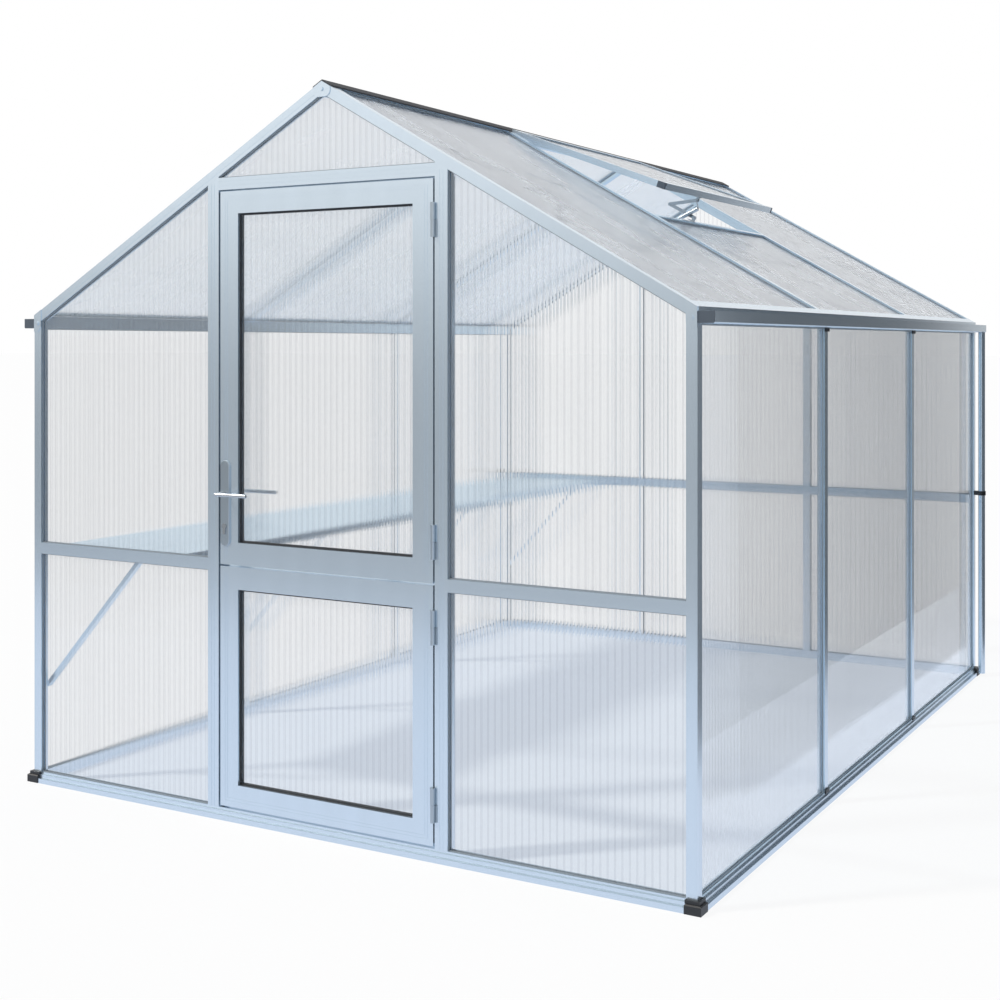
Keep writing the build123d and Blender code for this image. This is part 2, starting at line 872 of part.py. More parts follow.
def shelf_struts():
    """Slanting struts from the posts and mullions to the bearers."""
    wall_face = -half_width + bar_depth + seat_gap
    low = shelf_height - shelf_slat_thickness - shelf_rail_height - seat_gap
    outline = [
        (wall_face, strut_foot_height),
        (wall_face + strut_head_reach, low),
        (wall_face + strut_head_reach - strut_thickness, low),
        (wall_face, strut_foot_height + strut_thickness),
    ]
    return [
        slab(side_section, outline, -middle - strut_width / 2, strut_width / 2 - middle) for middle in frame_lines()
    ]


def leaf(low, high):
    """Frame and pane of one door leaf between two heights."""
    outer = rectangle(leaf_left, leaf_right, low, high)
    inner = rectangle(
        leaf_left + leaf_bar_width, leaf_right - leaf_bar_width, low + leaf_bar_width, high - leaf_bar_width
    )
    pane, pocket = glaze(front_wall, inner, leaf_pane_recess)
    ring = slab(front_wall, outer, -leaf_depth, 0) - slab(front_wall, inner, -leaf_depth - cut_margin, cut_margin)
    for inset in leaf_groove_insets:
        track = Polygon(
            *rectangle(leaf_left + inset, leaf_right - inset, low + inset, high - inset), align=None
        )
        ring = ring - extrude(
            front_wall.offset(-groove_depth) * (track - offset(track, -groove_width)),
            amount=groove_depth + cut_margin,
            dir=front_wall.z_dir,
        )
    return ring - pocket, pane


def hinge(low):
    """One lift-off hinge: the lower half with its pin on the post, and the upper half on the leaf."""
    height = (hinge_length - hinge_joint_gap) / 2
    barrel = Pos(hinge_x, hinge_y) * Circle(knuckle_radius)

    def half(side, base):
        plate = Pos(hinge_x, -seat_gap) * Rectangle(hinge_plate_width, hinge_plate_thickness, align=(side, Align.MAX))
        return extrude(Pos(0, 0, base) * (barrel + plate), amount=height)

    bore = Pos(hinge_x, hinge_y) * Circle(pin_radius + pin_play)
    leaf_half = half(Align.MAX, low + height + hinge_joint_gap)
    leaf_half = leaf_half - extrude(Pos(0, 0, low) * bore, amount=hinge_length)
    pin = Pos(hinge_x, hinge_y, low) * Cylinder(
        pin_radius, hinge_length, align=(Align.CENTER, Align.CENTER, Align.MIN)
    )
    return half(Align.MIN, low) + pin, leaf_half


def handle_centre():
    """Place of the handle plates on the upper leaf: across, bottom and lever height."""
    across = leaf_left + plate_edge_inset + plate_width / 2
    bottom = split_high + plate_bottom_above_leaf
    return across, bottom, bottom + plate_length - lever_below_plate_top


def cylinder_outline():
    """Keyhole-shaped outline of the lock cylinder, round above a narrower tail."""
    tail = Pos(0, -cylinder_tail_length / 2 + cylinder_radius) * Rectangle(
        cylinder_tail_width, cylinder_tail_length - 2 * cylinder_radius
    )
    foot = Pos(0, cylinder_radius - cylinder_tail_length + cylinder_tail_width / 2) * Circle(cylinder_tail_width / 2)
    return Circle(cylinder_radius) + tail + foot


def handle_plates():
    """Long rounded plates on both faces of the leaf, with holes for the spindle and the cylinder."""
    across, bottom, lever_height = handle_centre()
    outline = Pos(across, bottom + plate_length / 2) * RectangleRounded(
        plate_width, plate_length, plate_width / 2 - seat_gap
    )
    outline = outline - Pos(across, lever_height) * Circle(spindle_radius + spindle_play)
    cylinder_hole = offset(cylinder_outline(), seat_gap)
    outline = outline - Pos(across, bottom + cylinder_above_plate_bottom) * cylinder_hole
    outer = extrude(front_wall * outline, amount=plate_thickness, dir=front_wall.z_dir)
    outer = chamfer(outer.faces().sort_by(Axis.Y)[0].outer_wire().edges(), plate_chamfer)
    return [outer, mirror(outer, about=Plane.XZ.offset(-leaf_depth / 2))]


def lock_cylinder():
    """Lock cylinder through the leaf, a little proud of both plates."""
    across, bottom, _ = handle_centre()
    outline = Pos(across, bottom + cylinder_above_plate_bottom) * cylinder_outline()
    length = leaf_depth + 2 * plate_thickness + 2 * cylinder_reach
    return extrude(front_wall.offset(-leaf_depth - plate_thickness - cylinder_reach) * outline, amount=length)


def levers():
    """Outer and inner levers on one spindle, each with a neck, a cut corner and a long grip."""
    across, _, height = handle_centre()
    middle_y = leaf_depth / 2
    reach = leaf_depth / 2 + plate_thickness + lever_reach
    neck_start = leaf_depth / 2 + plate_thickness + seat_gap
    start = (across, middle_y - neck_start, height)
    path = Polyline(
        start,
        (across, middle_y - reach + lever_corner_cut, height),
        (across + lever_corner_cut, middle_y - reach, height),
        (across + lever_length, middle_y - reach, height),
    )
    section = Plane(origin=start, z_dir=(0, -1, 0)) * Circle(lever_radius)
    outer = sweep(section, path=path, transition=Transition.RIGHT)
    outer = chamfer(outer.faces().sort_by(Axis.X)[-1].edges(), lever_end_chamfer)
    inner = mirror(outer, about=Plane.XZ.offset(-middle_y))
    spindle = cylinder_between(
        (across, middle_y - neck_start - lever_radius, height),
        (across, middle_y + neck_start + lever_radius, height),
        spindle_radius,
    )
    return outer + inner + spindle


def leaf_room(across, bottom, lever_height):
    """Holes that the spindle and the cylinder need through the leaf."""
    outline = Pos(across, bottom + cylinder_above_plate_bottom) * offset(cylinder_outline(), seat_gap)
    outline = outline + Pos(across, lever_height) * Circle(spindle_radius + spindle_play)
    return extrude(front_wall.offset(-leaf_depth - cut_margin) * outline, amount=leaf_depth + 2 * cut_margin)


def write(name, shapes):
    """Write one sub-part, moved so that the whole house stands centred on the origin."""
    solids = [solid for shape in (shapes if isinstance(shapes, list) else [shapes]) for solid in shape.solids()]
    placed = [Pos(0, front_y, 0) * solid for solid in solids]
    export_step(placed[0] if len(placed) == 1 else Compound(children=placed), f"parts/{name}.step")


def main():
    os.makedirs("parts", exist_ok=True)
    front = front_glazing()
    back = back_glazing()
    right = side_glazing()
    roof_open = roof_glazing(with_vent=True)
    roof_closed = roof_glazing(with_vent=False)
    vent_pane, vent_pocket = vent_glazing()
    gables = pockets_of(front) + pockets_of(back)

    write("gable_sills", gable_sills(gables))
    write("side_sills", side_sills(pockets_of(right)))
    write("corner_blocks", four_corners(corner_block(pockets_of(front) + pockets_of(right))))
    write("corner_posts", four_corners(corner_post(pockets_of(front) + pockets_of(right))))
    write("door_posts", door_posts(pockets_of(front)))
    write("door_header", door_header(pockets_of(front)))
    outer_span = (post_outer, half_width - bar_face)
    inner_edge = post_outer - bar_face
    side_spans = [outer_span, (-outer_span[1], -outer_span[0])]
    write("front_mid_rails", gable_rails(front_wall, pockets_of(front), side_spans))
    write("back_mid_rails", gable_rails(back_wall, pockets_of(back), side_spans + [(-inner_edge, inner_edge)]))
    write("back_mullions", back_mullions(pockets_of(back)))
    write("side_mullions", side_mullions(pockets_of(right)))
    write("mullion_caps", mullion_caps())
    write("eave_beams", eave_beams(pockets_of(right) + pockets_of(roof_closed)))
    right_verge = [cut(bar, gables + pockets_of(roof_closed)) for bar in front_and_back(verge_bar())]
    write("right_verge_bars", right_verge)
    write("left_verge_bars", [left_copy(bar) for bar in right_verge])
    rebate = vent_rebate()
    write("right_roof_bars", roof_bars(pockets_of(roof_open) + [rebate]))
    write("left_roof_bars", [left_copy(bar) for bar in roof_bars(pockets_of(roof_closed))])
    closed_left = [left_copy(pocket) for pocket in pockets_of(roof_closed)]
    write("ridge_beam", ridge_beam(closed_left + pockets_of(roof_open)))
    write("ridge_cap", ridge_cap())
    write("gutters", both_sides(gutter()))
    write("gutter_end_caps", gutter_end_caps())
    write("downpipes", both_sides(downpipe()))
    write("pipe_clips", both_sides(pipe_clip()))
    write("eave_plates", four_corners(eave_plate()))
    write("apex_plates", front_and_back(apex_plate()))
    write("vent_transom", vent_transom(pockets_of(roof_open) + [rebate]))
    write("vent_frame", vent_frame(vent_pocket))
    write("vent_end_caps", vent_end_caps())
    write("vent_pane", vent_pane)
    arms, brackets, knee_pin = vent_opener()
    write("vent_opener_arms", arms)
    write("vent_opener_brackets", brackets)
    write("vent_opener_pin", knee_pin)
    write("vent_opener_cylinder", opener_cylinder())
    rails, slats = shelf_parts()
    write("shelf_rails", rails)
    write("shelf_slats", slats)
    write("shelf_bearers", shelf_bearers())
    write("shelf_struts", shelf_struts())
    write("front_panes", panes_of(front))
    write("back_panes", panes_of(back))
    write("right_panes", panes_of(right))
    write("left_panes", [left_copy(pane) for pane in panes_of(right)])
    write("right_roof_panes", panes_of(roof_open))
    write("left_roof_panes", [left_copy(pane) for pane in panes_of(roof_closed)])

    upper_ring, upper_pane = leaf(split_high, leaf_top)
    lower_ring, lower_pane = leaf(leaf_bottom, split_low)
    write("upper_leaf_frame", upper_ring - leaf_room(*handle_centre()))
    write("upper_leaf_pane", upper_pane)
    write("lower_leaf_frame", lower_ring)
    write("lower_leaf_pane", lower_pane)
    upper_hinges = [hinge(leaf_top - leaf_bar_width - hinge_length), hinge(split_high + leaf_bar_width)]
    lower_hinges = [hinge(split_low - leaf_bar_width - hinge_length), hinge(leaf_bottom + leaf_bar_width)]
    write("post_hinge_halves", [fixed for fixed, _ in upper_hinges + lower_hinges])
    write("upper_leaf_hinge_halves", [moving for _, moving in upper_hinges])
    write("lower_leaf_hinge_halves", [moving for _, moving in lower_hinges])
    write("handle_plates", handle_plates())
    write("lock_cylinder", lock_cylinder())
    write("lever_handles", levers())


main()
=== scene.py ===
from math import atan2, cos, radians, sin

import bpy
from mathutils import Matrix, Vector


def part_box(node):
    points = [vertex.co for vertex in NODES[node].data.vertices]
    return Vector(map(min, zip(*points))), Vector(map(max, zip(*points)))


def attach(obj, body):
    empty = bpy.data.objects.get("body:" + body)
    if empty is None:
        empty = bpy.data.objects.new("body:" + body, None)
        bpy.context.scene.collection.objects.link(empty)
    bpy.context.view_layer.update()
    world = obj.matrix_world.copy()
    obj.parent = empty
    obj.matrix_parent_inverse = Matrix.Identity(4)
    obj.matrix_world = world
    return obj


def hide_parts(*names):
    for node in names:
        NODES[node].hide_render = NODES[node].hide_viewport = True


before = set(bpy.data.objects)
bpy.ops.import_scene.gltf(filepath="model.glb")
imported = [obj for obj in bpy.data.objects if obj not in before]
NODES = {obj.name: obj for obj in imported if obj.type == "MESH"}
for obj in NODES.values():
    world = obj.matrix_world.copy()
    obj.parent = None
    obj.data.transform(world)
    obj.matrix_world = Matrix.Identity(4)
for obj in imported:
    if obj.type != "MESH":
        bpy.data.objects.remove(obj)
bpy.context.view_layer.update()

bl_info = {
    "name": "Garden greenhouse finish",
    "version": (1, 0, 0),
    "blender": (4, 5, 0),
    "location": "View3D > Sidebar > Greenhouse",
    "description": "Dresses the frame of a garden greenhouse with fluted sheets, seals and metal finishes",
    "category": "Object",
}

HALF_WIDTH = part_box("corner_posts")[1].x
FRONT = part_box("corner_posts")[0].y
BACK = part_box("corner_posts")[1].y
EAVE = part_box("gutters")[1].z
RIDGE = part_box("right_verge_bars")[1].z
PITCH = atan2(RIDGE - EAVE, HALF_WIDTH)
VENT_LOW, VENT_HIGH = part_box("vent_pane")
SHEET_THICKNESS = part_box("front_panes")[1].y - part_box("front_panes")[0].y
SLOPE_ROUNDS = 4

# Directions across and along the sheets of each side; their cross product points outwards
ACROSS_FRONT = Vector((1, 0, 0))
ACROSS_BACK = Vector((-1, 0, 0))
ACROSS_RIGHT = Vector((0, 1, 0))
ACROSS_LEFT = Vector((0, -1, 0))
UP = Vector((0, 0, 1))
UP_RIGHT_SLOPE = Vector((-cos(PITCH), 0, sin(PITCH)))
UP_LEFT_SLOPE = Vector((cos(PITCH), 0, sin(PITCH)))

# Modelling: distance at which vertices join, angles below which faces count as flat or shade smooth,
# and how far a face's normal agrees with the direction that it faces
JOIN_DISTANCE = 0.00001
FLAT_ANGLE = radians(1)
SMOOTH_ANGLE = radians(20)
FACING = 0.9

# Studio: the level camera, the key light from the front left, and the floor
LEVEL = radians(90)
SENSOR_WIDTH = 36.0
KEY_DIRECTION = Vector((-0.543, -0.506, 0.669))
KEY_ANGLE = radians(5)
FLOOR_SIZE = 400
FLOOR_HEIGHT = -0.001
FLOOR_CELLS = 4
WHITE = (1.0, 1.0, 1.0, 1.0)
FLOOR_WHITE = (0.95, 0.95, 0.95, 1.0)

# Cards that only mirror images show, as painted reflections that darken the bars' right and entrance sides:
# place, turn in degrees, size, and their fades to white, each of which is an axis, where it starts and ends
# along it, and how white it gets
CARDS = {
    "side_card": (
        (1.75, 2.2, 3.0), (0, -90, 0), (6.0, 5.6), (("Z", 5.0, 6.0, 1.0), ("Y", 2.6, 4.8, 1.0)),
    ),
    "front_card": (
        (-2.4, -4.6, 1.25), (-90, 0, 0), (6.4, 2.5), (("Z", 1.1, 2.35, 1.0), ("X", -4.6, -2.9, 0.16)),
    ),
}

# Grain of metal and plastic: how it is stretched, its scales, and what it does to colour and gloss
UNTURNED = (0.0, 0.0, 0.0)
GRAIN_ALONG_X = (0.012, 1.0, 1.0)
GRAIN_ALONG_Y = (1.0, 0.012, 1.0)
GRAIN_ALONG_Z = (1.0, 1.0, 0.012)
SHORT_GRAIN = (1.0, 1.0, 0.05)
FINE_GRAIN_SCALE = 1800.0
TONE_SCALE = 16.0
TONE_PLAY = 0.04
GLOSS_PLAY = 0.02
GRAIN_STRENGTH = 0.003
GRAIN_HEIGHT = 0.0004
MOULDING_SCALE = 700.0
RUBBER_SCALE = 1500.0
MOULDING_STRENGTH = 0.15
MOULDING_HEIGHT = 0.0003
MOULDING_GAIN = 2.2

# Rounded edges, painted lighter as a painted highlight: samples of the rounding, where an edge starts to
# count and counts fully, and its gain
BEVEL_SAMPLES = 4
EDGE_START = 0.995
EDGE_FULL = 0.85
METAL_EDGE_HIGHLIGHT_GAIN = 1.12
PLASTIC_EDGE_HIGHLIGHT_GAIN = 5.0
PLASTIC_EDGE_HIGHLIGHT_SHARE = 0.5

# Sheets: how far a dark rib reaches as a share of a flute, slow waves, and a roof's streaks of painted
# reflection and darker patches
RIB_SHARE = 0.17
WAVE_SCALE = 2.3
WAVE_RANGE = (0.35, 0.75)
WALL_ROUGHNESS = (0.0, 0.04)
ROOF_ROUGHNESS = (0.16, 0.30)
STREAK_STRETCH = (1.1, 4.2, 1.0)
STREAK_SCALE = 1.7
STREAK_RANGE = (0.32, 0.70)
PATCH_STRETCH = (9.0, 3.0, 1.0)
PATCH_SCALE = 1.0
PATCH_RANGE = (0.57, 0.72)
PATCH_SHARE = 0.7
EAVE_GAIN = 0.32
RIDGE_GAIN = -0.12


def vent_slope():
    """Direction up the open vent, from its sheet's thickness and its box."""
    rise = VENT_HIGH.z - VENT_LOW.z
    run = VENT_HIGH.x - VENT_LOW.x
    lean = atan2(rise, run)
    for _ in range(SLOPE_ROUNDS):
        lean = atan2(rise - SHEET_THICKNESS * cos(lean), run - SHEET_THICKNESS * sin(lean))
    return Vector((-cos(lean), 0, sin(lean)))


# Each set of sheets: the panes it stands for, its directions, its body, and whether it lies in the roof
SHEETS = {
    "front_sheets": ("front_panes", ACROSS_FRONT, UP, "house", False),
    "back_sheets": ("back_panes", ACROSS_BACK, UP, "house", False),
    "right_sheets": ("right_panes", ACROSS_RIGHT, UP, "house", False),
    "left_sheets": ("left_panes", ACROSS_LEFT, UP, "house", False),
    "right_roof_sheets": ("right_roof_panes", ACROSS_RIGHT, UP_RIGHT_SLOPE, "house", True),
    "left_roof_sheets": ("left_roof_panes", ACROSS_LEFT, UP_LEFT_SLOPE, "house", True),
    "vent_sheet": ("vent_pane", ACROSS_RIGHT, vent_slope(), "house", True),
    "upper_leaf_sheet": ("upper_leaf_pane", ACROSS_FRONT, UP, "upper_leaf", False),
    "lower_leaf_sheet": ("lower_leaf_pane", ACROSS_FRONT, UP, "lower_leaf", False),
}


def number(name, description, default, **options):
    """Number that a user may change."""
    return bpy.props.FloatProperty(name=name, description=description, default=default, **options)


def length(name, description, default):
    """Length that a user may change."""
    return number(name, description, default, unit="LENGTH")


def share_of_one(name, description, default):
    """Share between nothing and all that a user may change."""
    return number(name, description, default, subtype="FACTOR")


def triple(name, description, default, subtype="COLOR"):
    """Three numbers that a user may change, a colour unless told otherwise."""
    return bpy.props.FloatVectorProperty(name=name, description=description, default=default, subtype=subtype)


class SheetSettings(bpy.types.PropertyGroup):
    """Twin-wall sheets and the seals that hold them."""

    flute: length("Flute", "Distance between two ribs of a sheet", 0.0106)
    groove_reach: length("Groove reach", "How far the groove over a rib reaches to each side", 0.0017)
    groove_blend: length("Groove blend", "Narrow strip in which a groove runs out into the flat", 0.0003)
    groove_depth: length("Groove depth", "How deep the groove over a rib is", 0.00022)
    skin_play: length("Skin play", "What a fluted sheet is thinner than its pane", 0.0002)
    edge_play: length("Edge play", "How far the uncut board reaches past its panes", 0.02)
    tint: triple("Tint", "Colour of light seen through a wall sheet", (0.955, 0.955, 0.955))
    rib_tint: triple("Rib tint", "Colour of light seen through a rib", (0.66, 0.66, 0.69))
    # Roof colours are painted light: the pale streaks are painted reflections, the right roof sheets are
    # painted dark as painted shade, and the left ones pale as painted light.
    right_roof_painted_reflection: triple("Roof pale", "Pale streaks of the right roof sheets", (0.74, 0.752, 0.778))
    right_roof_painted_shade: triple("Roof dull", "Dull parts of the right roof sheets", (0.33, 0.355, 0.40))
    left_roof_painted_reflection: triple("Left roof pale", "Pale streaks of the left roof sheets", (0.95, 0.95, 0.955))
    left_roof_painted_light: triple("Left roof dull", "Dull parts of the left roof sheets", (0.88, 0.89, 0.90))
    roof_groove_share: share_of_one(
        "Roof groove share", "How deep a roof sheet's grooves are beside a wall sheet's", 0.2
    )
    shade: triple("Shade", "Colour of light that falls through a sheet", (0.88, 0.925, 0.955))
    haze: share_of_one("Haze", "Share of light that a wall sheet scatters", 0.07)
    roof_haze: share_of_one("Roof haze", "Share of light that a right roof sheet scatters", 0.28)
    left_roof_haze: share_of_one("Left roof haze", "Share of light that a left roof sheet scatters", 0.10)
    bending: number("Bending", "How strongly the hollow sheets bend light", 1.28)
    seat: length("Seat", "How far a sheet reaches into its bars", 0.008)
    seal_width: length("Seal width", "Width of the seal that shows round a wall sheet", 0.0025)
    leaf_seal_width: length("Leaf seal width", "Width of the seal that shows round a leaf's sheet", 0.005)
    seal_height: length("Seal height", "How far the seal stands off its sheet", 0.003)


class MetalSettings(bpy.types.PropertyGroup):
    """Finishes of the frame and its fittings."""

    bar_colour: triple("Bars", "Satin anodised aluminium", (0.66, 0.755, 0.84))
    fitting_colour: triple("Fittings", "Brushed steel of the lever and the opener", (0.50, 0.525, 0.55))
    # Plates and hinges are the bars' aluminium, painted darker as painted shade.
    plate_colour: triple("Plates", "Satin handle plates and hinges", (0.42, 0.48, 0.53))
    ridge_colour: triple("Ridge", "Dark coated ridge strip", (0.038, 0.040, 0.047))
    cap_colour: triple("Caps", "Slate moulded gutter ends", (0.045, 0.058, 0.075))
    moulding_colour: triple("Mouldings", "Black moulded plastic and leaf seals", (0.010, 0.011, 0.013))
    rubber_colour: triple("Wall seals", "Grey seals of the wall sheets", (0.16, 0.18, 0.20))
    edge_radius: length("Edge radius", "How rounded the edges of fittings and mouldings look", 0.0005)


class StudioSettings(bpy.types.PropertyGroup):
    """Camera and light."""

    camera_place: triple("Camera", "Where the camera stands", (2.6065, -5.0777, 1.4315), "TRANSLATION")
    camera_yaw: number(
        "Yaw", "How far the camera looks left of straight ahead", radians(29.747), subtype="ANGLE"
    )
    lens: number("Lens", "Focal length in millimetres", 53.95)
    shift: number("Shift", "Upward shift of the picture", -0.1548)
    sun_strength: number("Key light", "Strength of the key light", 2.0)
    sun_colour: triple("Key colour", "Colour of the key light", (1.0, 0.93, 0.84))
    sky_strength: number("Fill light", "Strength of the fill light", 0.55)
    sky_colour: triple("Fill colour", "Colour of the fill light", (0.84, 0.91, 1.0))
    # The cards' colours are painted reflections: the side card paints the bars' right faces dark, and the
    # front card paints the entrance side grey, darker to the left.
    side_card: triple("Side card", "Dark card that the right side mirrors", (0.07, 0.078, 0.088))
    front_card: triple("Front card", "Grey card that the entrance side mirrors", (0.27, 0.287, 0.30))
    # This colour is a painted reflection of the floor in the bars, and painted light on the floor inside the
    # walls, where the share below sets how much of it shows.
    painted_floor_tint: triple("Mirrored floor", "Colour of the floor in the bars", (0.80, 0.86, 0.98))
    floor_glow: share_of_one("Floor glow", "Share of the floor that shows white", 0.9)
    inner_painted_light_share: share_of_one(
        "Inner floor glow", "Share of the inner floor that shows white through sheets", 0.5
    )


class GreenhouseSettings(bpy.types.PropertyGroup):
    """All values of the greenhouse."""

    sheets: bpy.props.PointerProperty(type=SheetSettings)
    metal: bpy.props.PointerProperty(type=MetalSettings)
    studio: bpy.props.PointerProperty(type=StudioSettings)


def settings():
    """The values that a user may change."""
    return bpy.context.scene.greenhouse


def colour(value):
    """Colour with full opacity for a socket."""
    return (*value, 1.0)


def scaled(base, gain):
    """Brighter or darker form of a colour for a socket, at most white."""
    return colour(min(channel * gain, 1.0) for channel in base)


def wire(tree, kind, inputs=None, **options):
    """Add a shader node, set its options, and fill or link its inputs."""
    made = tree.nodes.new("ShaderNode" + kind)
    for key, value in options.items():
        setattr(made, key, value)
    for key, value in (inputs or {}).items():
        if isinstance(value, bpy.types.NodeSocket):
            tree.links.new(value, made.inputs[key])
        else:
            made.inputs[key].default_value = value
    return made


def combine(tree, operation, *values, clamp=False):
    """Result of a calculation with two or three values."""
    return wire(tree, "Math", dict(enumerate(values)), operation=operation, use_clamp=clamp).outputs["Value"]


def vectors(tree, operation, *values):
    """Outputs of a calculation with one or two vectors."""
    return wire(tree, "VectorMath", dict(enumerate(values)), operation=operation).outputs


def remap(tree, value, start, end, low=0.0, high=1.0):
    """Value carried from one range to another, and held inside it."""
    ranges = {"Value": value, "From Min": start, "From Max": end, "To Min": low, "To Max": high}
    return wire(tree, "MapRange", ranges).outputs["Result"]


def blend(tree, share, first, second):
    """Colour between two colours."""
    return wire(tree, "Mix", {"Factor": share, 6: first, 7: second}, data_type="RGBA").outputs[2]


def noise(tree, place, scale, detail, roughness, distortion=0.0):
    """Cloudy noise."""
    inputs = {"Vector": place, "Scale": scale, "Detail": detail, "Roughness": roughness}
    return wire(tree, "TexNoise", {**inputs, "Distortion": distortion}).outputs["Fac"]


def mapped(tree, place, turn, scale=(1.0, 1.0, 1.0)):
    """Coordinates that are turned and stretched."""
    return wire(tree, "Mapping", {"Vector": place, "Rotation": turn, "Scale": scale}).outputs["Vector"]


def mix_shaders(tree, share, first, second):
    """Mixture of two shaders."""
    return wire(tree, "MixShader", {"Fac": share, 1: first, 2: second}).outputs["Shader"]


def place_on(tree):
    """Coordinates in the frame that all pieces share."""
    return wire(tree, "TexCoord").outputs["Object"]


def mirrored_only(tree, path):
    """Share that is 1 for rays that come off a glossy surface, and 0 for those that went through a sheet."""
    glossy, through = path.outputs["Is Glossy Ray"], path.outputs["Is Transmission Ray"]
    return combine(tree, "SUBTRACT", glossy, through, clamp=True)


def new_group(name, inputs, outputs):
    """Empty node group with named sockets, and the sockets of its two end nodes."""
    group = bpy.data.node_groups.new(name, "ShaderNodeTree")
    for label, kind, value in inputs:
        socket = group.interface.new_socket(label, in_out="INPUT", socket_type="NodeSocket" + kind)
        if value is not None:
            socket.default_value = value
    for label, kind in outputs:
        group.interface.new_socket(label, in_out="OUTPUT", socket_type="NodeSocket" + kind)
    return group, group.nodes.new("NodeGroupInput").outputs, group.nodes.new("NodeGroupOutput").inputs


def grain_group():
    """Drawn grain of aluminium: long fine streaks, and a broad tone."""
    group, given, result = new_group(
        "drawn_grain",
        [("Coordinates", "Vector", None), ("Turn", "Vector", None), ("Stretch", "Vector", (1.0, 1.0, 1.0))],
        [("Streaks", "Float"), ("Tone", "Float")],
    )
    turned = mapped(group, given["Coordinates"], given["Turn"])
    drawn = vectors(group, "MULTIPLY", turned, given["Stretch"])["Vector"]
    group.links.new(noise(group, drawn, FINE_GRAIN_SCALE, 2.0, 0.5), result["Streaks"])
    group.links.new(noise(group, drawn, TONE_SCALE, 2.0, 0.5), result["Tone"])
    return group


def edge_group():
    """Rounded edges: the softened normal, and a mask that is 1 where an edge turns."""
    group, given, result = new_group(
        "worn_edges", [("Radius", "Float", 0.001)], [("Normal", "Vector"), ("Edge", "Float")]
    )
    rounded = wire(group, "Bevel", {"Radius": given["Radius"]}, samples=BEVEL_SAMPLES).outputs["Normal"]
    flat = wire(group, "NewGeometry").outputs["Normal"]
    agree = vectors(group, "DOT_PRODUCT", rounded, flat)["Value"]
    group.links.new(rounded, result["Normal"])
    group.links.new(remap(group, agree, EDGE_START, EDGE_FULL), result["Edge"])
    return group


def flute_group():
    """Ribs of a twin-wall sheet: a mask that is 1 along every second rib, and slow waves in the sheet."""
    group, given, result = new_group(
        "sheet_ribs",
        [("Coordinates", "Vector", None), ("Across", "Vector", (1.0, 0.0, 0.0)), ("Flute", "Float", 0.01)],
        [("Rib", "Float"), ("Wave", "Float")],
    )
    place = vectors(group, "DOT_PRODUCT", given["Coordinates"], given["Across"])["Value"]
    count = combine(group, "DIVIDE", place, given["Flute"])
    share = combine(group, "PINGPONG", count, 1.0)
    group.links.new(remap(group, share, RIB_SHARE, 0.0), result["Rib"])
    group.links.new(noise(group, given["Coordinates"], WAVE_SCALE, 3.0, 0.55), result["Wave"])
    return group


def cloud_group():
    """Soft streaks of painted reflection along a roof sheet's slope that grow duller from eave to ridge, and
    short darker patches.
    """
    group, given, result = new_group(
        "roof_clouds",
        [("Coordinates", "Vector", None), ("Turn", "Vector", None), ("Low", "Float", 0.0),
         ("High", "Float", 1.0)],
        [("Streak", "Float"), ("Smudge", "Float")],
    )
    streak_place = mapped(group, given["Coordinates"], given["Turn"], STREAK_STRETCH)
    streak = noise(group, streak_place, STREAK_SCALE, 3.0, 0.5, 1.1)
    patch_place = mapped(group, given["Coordinates"], given["Turn"], PATCH_STRETCH)
    patch = noise(group, patch_place, PATCH_SCALE, 2.0, 0.45, 1.6)
    height = wire(group, "SeparateXYZ", {"Vector": given["Coordinates"]}).outputs["Z"]
    fall = remap(group, height, given["Low"], given["High"], EAVE_GAIN, RIDGE_GAIN)
    total = combine(group, "ADD", remap(group, streak, *STREAK_RANGE), fall, clamp=True)
    group.links.new(total, result["Streak"])
    group.links.new(remap(group, patch, *PATCH_RANGE), result["Smudge"])
    return group


def effect(tree, name, maker, inputs):
    """Outputs of a node group, which is made once."""
    group = bpy.data.node_groups.get(name) or maker()
    return wire(tree, "Group", inputs, node_tree=group).outputs


def empty_tree(owner):
    """Node tree of a new material or world, with nothing in it yet."""
    owner.use_nodes = True
    owner.node_tree.nodes.clear()
    return owner.node_tree


def new_material(name):
    """Material with a Principled shader, its tree, and its output."""
    material = bpy.data.materials.new(name)
    tree = empty_tree(material)
    end = wire(tree, "OutputMaterial")
    shader = wire(tree, "BsdfPrincipled")
    tree.links.new(shader.outputs["BSDF"], end.inputs["Surface"])
    return material, tree, shader, end


def rounded_edges(tree):
    """Rounded edges in a material, and the mask of their painted highlight."""
    return effect(tree, "worn_edges", edge_group, {"Radius": settings().metal.edge_radius})


def shaded_metal(name, base, metallic, roughness, turn=UNTURNED, stretch=SHORT_GRAIN, edge_highlight=True):
    """Metal whose colour, gloss and surface vary with the grain, brighter at the edges as a painted
    highlight.
    """
    material, tree, shader, _ = new_material(name)
    given = {"Coordinates": place_on(tree), "Turn": turn, "Stretch": stretch}
    grain = effect(tree, "drawn_grain", grain_group, given)
    tone = blend(tree, grain["Tone"], scaled(base, 1 - TONE_PLAY), scaled(base, 1 + TONE_PLAY))
    # The brighter edges are a painted highlight.
    if edge_highlight:
        tone = blend(tree, rounded_edges(tree)["Edge"], tone, scaled(base, METAL_EDGE_HIGHLIGHT_GAIN))
    gloss = remap(tree, grain["Streaks"], 0.0, 1.0, roughness - GLOSS_PLAY, roughness + GLOSS_PLAY)
    surface = wire(
        tree, "Bump", {"Strength": GRAIN_STRENGTH, "Distance": GRAIN_HEIGHT, "Height": grain["Streaks"]}
    )
    tree.links.new(tone, shader.inputs["Base Color"])
    tree.links.new(gloss, shader.inputs["Roughness"])
    tree.links.new(surface.outputs["Normal"], shader.inputs["Normal"])
    shader.inputs["Metallic"].default_value = metallic
    return material


def bar_metal(name, stretch, turn=UNTURNED):
    """Satin anodised aluminium of the frame's bars."""
    return shaded_metal(name, settings().metal.bar_colour, 0.85, 0.24, turn, stretch, edge_highlight=False)


